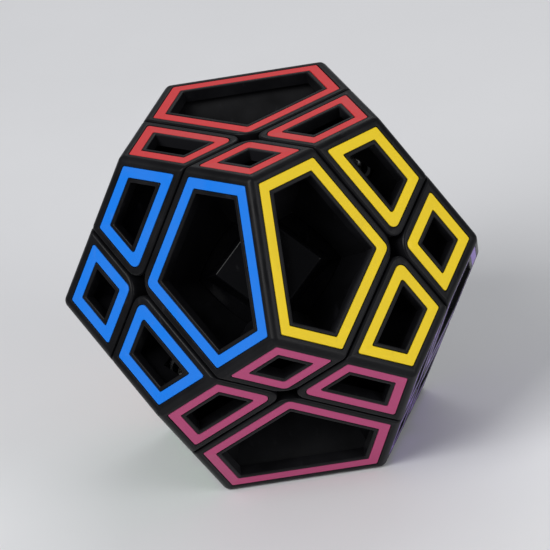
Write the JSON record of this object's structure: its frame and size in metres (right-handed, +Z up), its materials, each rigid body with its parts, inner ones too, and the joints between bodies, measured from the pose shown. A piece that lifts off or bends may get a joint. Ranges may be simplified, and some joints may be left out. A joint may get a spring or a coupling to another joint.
{
  "type": "twisty puzzle",
  "caption": "Hollow-framed dodecahedral twisty puzzle whose halves turn about sprung screws in a hidden core.",
  "frame": {"origin": "centre of the bottom of the puzzle's box, on the face it stands on", "axes": "+Z up, normal to the red face on top; -Y towards the viewer of the picture, where the blue and yellow faces meet in an edge; +X to the right"},
  "size_m": [0.0818, 0.086, 0.07],
  "materials": {
    "shell_plastic": "satin",
    "base_plastic": "glossy",
    "core_plastic": "satin",
    "steel": "zinc plated",
    "spring_steel": "drawn wire",
    "outline_red": "satin",
    "outline_blue": "satin",
    "outline_yellow": "satin",
    "outline_pink": "satin",
    "outline_sky_blue": "satin",
    "outline_orange": "satin",
    "outline_green": "satin",
    "outline_lavender": "satin",
    "outline_white": "satin",
    "outline_lime": "satin",
    "outline_grey": "satin",
    "outline_cream": "satin"
  },
  "bodies": {
    "core": {"core": "core_plastic", "screw_right_top_front": "steel", "screw_right_bottom_back": "steel", "screw_left_top_back": "steel", "screw_left_bottom_front": "steel"},
    "spring_mount_right_top_front": {"spring_right_top_front": "spring_steel", "washer_right_top_front": "steel"},
    "spring_mount_right_bottom_back": {"spring_right_bottom_back": "spring_steel", "washer_right_bottom_back": "steel"},
    "spring_mount_left_top_back": {"spring_left_top_back": "spring_steel", "washer_left_top_back": "steel"},
    "spring_mount_left_bottom_front": {"spring_left_bottom_front": "spring_steel", "washer_left_bottom_front": "steel"},
    "corner_right_top_front": {"corner_right_top_front_cap": "shell_plastic", "corner_right_top_front_base": "base_plastic"},
    "corner_right_bottom_back": {"corner_right_bottom_back_cap": "shell_plastic", "corner_right_bottom_back_base": "base_plastic"},
    "corner_left_top_back": {"corner_left_top_back_cap": "shell_plastic", "corner_left_top_back_base": "base_plastic"},
    "corner_left_bottom_front": {"corner_left_bottom_front_cap": "shell_plastic", "corner_left_bottom_front_base": "base_plastic"},
    "corner_right_top_back": {"corner_right_top_back_cap": "shell_plastic", "corner_right_top_back_base": "base_plastic"},
    "corner_right_bottom_front": {"corner_right_bottom_front_cap": "shell_plastic", "corner_right_bottom_front_base": "base_plastic"},
    "corner_left_top_front": {"corner_left_top_front_cap": "shell_plastic", "corner_left_top_front_base": "base_plastic"},
    "corner_left_bottom_back": {"corner_left_bottom_back_cap": "shell_plastic", "corner_left_bottom_back_base": "base_plastic"},
    "centre_right": {"centre_right_cap": "shell_plastic", "centre_right_base": "base_plastic"},
    "centre_left": {"centre_left_cap": "shell_plastic", "centre_left_base": "base_plastic"},
    "centre_top": {"centre_top_cap": "shell_plastic", "centre_top_base": "base_plastic"},
    "centre_bottom": {"centre_bottom_cap": "shell_plastic", "centre_bottom_base": "base_plastic"},
    "centre_front": {"centre_front_cap": "shell_plastic", "centre_front_base": "base_plastic"},
    "centre_back": {"centre_back_cap": "shell_plastic", "centre_back_base": "base_plastic"}
  },
  "joints": [
    {"name": "twist_right_top_front", "type": "hinge", "parent": "core", "child": "spring_mount_right_top_front", "pos_m": [0, 0, 0.035], "axis": [0.5774, -0.1876, 0.7947], "range_deg": [-120, 120]},
    {"name": "twist_right_bottom_back", "type": "hinge", "parent": "core", "child": "spring_mount_right_bottom_back", "pos_m": [0, 0, 0.035], "axis": [0.5774, 0.1876, -0.7947], "range_deg": [-120, 120]},
    {"name": "twist_left_top_back", "type": "hinge", "parent": "core", "child": "spring_mount_left_top_back", "pos_m": [0, 0, 0.035], "axis": [-0.5774, 0.7947, 0.1876], "range_deg": [-120, 120]},
    {"name": "twist_left_bottom_front", "type": "hinge", "parent": "core", "child": "spring_mount_left_bottom_front", "pos_m": [0, 0, 0.035], "axis": [-0.5774, -0.7947, -0.1876], "range_deg": [0, 120]},
    {"name": "lift_right_top_front", "type": "slide", "parent": "spring_mount_right_top_front", "child": "corner_right_top_front", "axis": [0.5774, -0.1876, 0.7947], "range_m": [0, 0.0008], "stiffness_N_per_m": 1500, "springref_m": -0.002, "deforming": ["spring_right_top_front"]},
    {"name": "lift_right_bottom_back", "type": "slide", "parent": "spring_mount_right_bottom_back", "child": "corner_right_bottom_back", "axis": [0.5774, 0.1876, -0.7947], "range_m": [0, 0.0008], "stiffness_N_per_m": 1500, "springref_m": -0.002, "deforming": ["spring_right_bottom_back"]},
    {"name": "lift_left_top_back", "type": "slide", "parent": "spring_mount_left_top_back", "child": "corner_left_top_back", "axis": [-0.5774, 0.7947, 0.1876], "range_m": [0, 0.0008], "stiffness_N_per_m": 1500, "springref_m": -0.002, "deforming": ["spring_left_top_back"]},
    {"name": "lift_left_bottom_front", "type": "slide", "parent": "spring_mount_left_bottom_front", "child": "corner_left_bottom_front", "axis": [-0.5774, -0.7947, -0.1876], "range_m": [0, 0.0008], "stiffness_N_per_m": 1500, "springref_m": -0.002, "deforming": ["spring_left_bottom_front"]},
    {"name": "centre_right_turn", "type": "hinge", "parent": "spring_mount_right_top_front", "child": "centre_right", "pos_m": [0, 0, 0.035], "axis": [0.5774, 0.1876, -0.7947], "range_deg": [-120, 120]},
    {"name": "centre_top_turn", "type": "hinge", "parent": "spring_mount_left_top_back", "child": "centre_top", "pos_m": [0, 0, 0.035], "axis": [0.5774, -0.1876, 0.7947], "range_deg": [-120, 120]},
    {"name": "centre_front_turn", "type": "hinge", "parent": "spring_mount_right_top_front", "child": "centre_front", "pos_m": [0, 0, 0.035], "axis": [-0.5774, -0.7947, -0.1876], "range_deg": [0, 120]},
    {"name": "centre_back_turn", "type": "hinge", "parent": "spring_mount_right_bottom_back", "child": "centre_back", "pos_m": [0, 0, 0.035], "axis": [-0.5774, 0.7947, 0.1876], "range_deg": [-120, 120]},
    {"name": "centre_bottom_turn", "type": "hinge", "parent": "spring_mount_right_bottom_back", "child": "centre_bottom", "pos_m": [0, 0, 0.035], "axis": [-0.5774, -0.7947, -0.1876], "range_deg": [0, 120]},
    {"name": "centre_left_turn", "type": "hinge", "parent": "spring_mount_left_top_back", "child": "centre_left", "pos_m": [0, 0, 0.035], "axis": [-0.5774, -0.7947, -0.1876], "range_deg": [0, 120]},
    {"name": "corner_right_top_back_turn", "type": "hinge", "parent": "centre_right", "child": "corner_right_top_back", "pos_m": [0, 0, 0.035], "axis": [-0.5774, 0.7947, 0.1876], "range_deg": [-120, 120]},
    {"name": "corner_right_bottom_front_turn", "type": "hinge", "parent": "centre_right", "child": "corner_right_bottom_front", "pos_m": [0, 0, 0.035], "axis": [-0.5774, -0.7947, -0.1876], "range_deg": [0, 120]},
    {"name": "corner_left_top_front_turn", "type": "hinge", "parent": "centre_left", "child": "corner_left_top_front", "pos_m": [0, 0, 0.035], "axis": [0.5774, -0.1876, 0.7947], "range_deg": [-120, 120]},
    {"name": "corner_left_bottom_back_turn", "type": "hinge", "parent": "centre_back", "child": "corner_left_bottom_back", "pos_m": [0, 0, 0.035], "axis": [-0.5774, -0.7947, -0.1876], "range_deg": [0, 120]}
  ],
  "couplings": [
    {"joint": "centre_right_turn", "follows": "twist_right_bottom_back", "ratio": 1},
    {"joint": "centre_top_turn", "follows": "twist_right_top_front", "ratio": 1},
    {"joint": "centre_front_turn", "follows": "twist_left_bottom_front", "ratio": 1},
    {"joint": "centre_back_turn", "follows": "twist_left_top_back", "ratio": 1},
    {"joint": "centre_bottom_turn", "follows": "twist_left_bottom_front", "ratio": 1},
    {"joint": "centre_left_turn", "follows": "twist_left_bottom_front", "ratio": 1},
    {"joint": "corner_right_top_back_turn", "follows": "twist_left_top_back", "ratio": 1},
    {"joint": "corner_right_bottom_front_turn", "follows": "twist_left_bottom_front", "ratio": 1},
    {"joint": "corner_left_top_front_turn", "follows": "twist_right_top_front", "ratio": 1},
    {"joint": "corner_left_bottom_back_turn", "follows": "twist_left_bottom_front", "ratio": 1}
  ]
}
